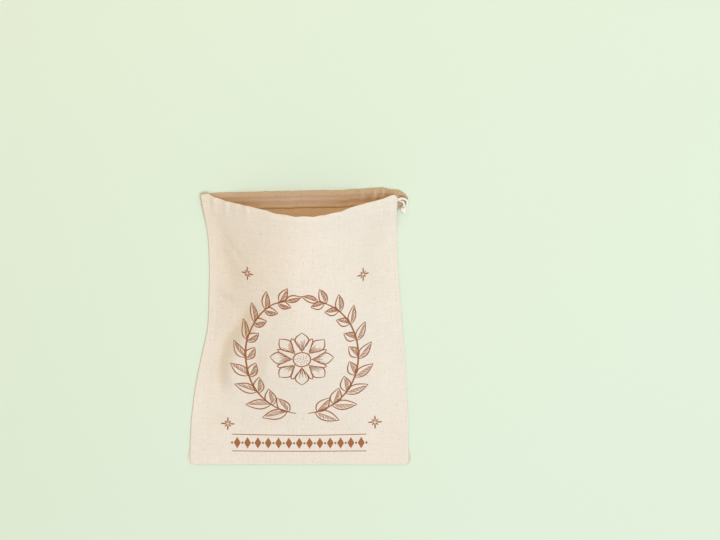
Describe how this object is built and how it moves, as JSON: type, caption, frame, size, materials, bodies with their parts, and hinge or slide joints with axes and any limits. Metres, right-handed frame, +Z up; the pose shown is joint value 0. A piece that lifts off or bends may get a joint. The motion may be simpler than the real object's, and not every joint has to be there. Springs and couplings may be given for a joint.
{
  "type": "linen drawstring bread bag",
  "caption": "Flat linen drawstring bag for bread, lying on its back with its mouth propped a little open, the cord threaded through a casing and knotted at one corner.",
  "frame": {"origin": "centre of the bag's outline on the surface that it lies on", "axes": "+X to the right and +Y from the bottom seam towards the mouth as the printed side is seen from above, +Z up, away from the surface"},
  "size_m": [0.3039, 0.4036, 0.0614],
  "materials": {
    "front_linen": "undyed cream linen in plain weave, matt, printed in warm brown",
    "back_linen": "undyed cream linen in plain weave, matt",
    "cotton_cord": "off-white twisted cotton cord, matt"
  },
  "bodies": {
    "root": {"front_panel": "front_linen", "back_panel": "back_linen", "drawstring": "cotton_cord", "drawstring_knot": "cotton_cord"}
  },
  "joints": []
}
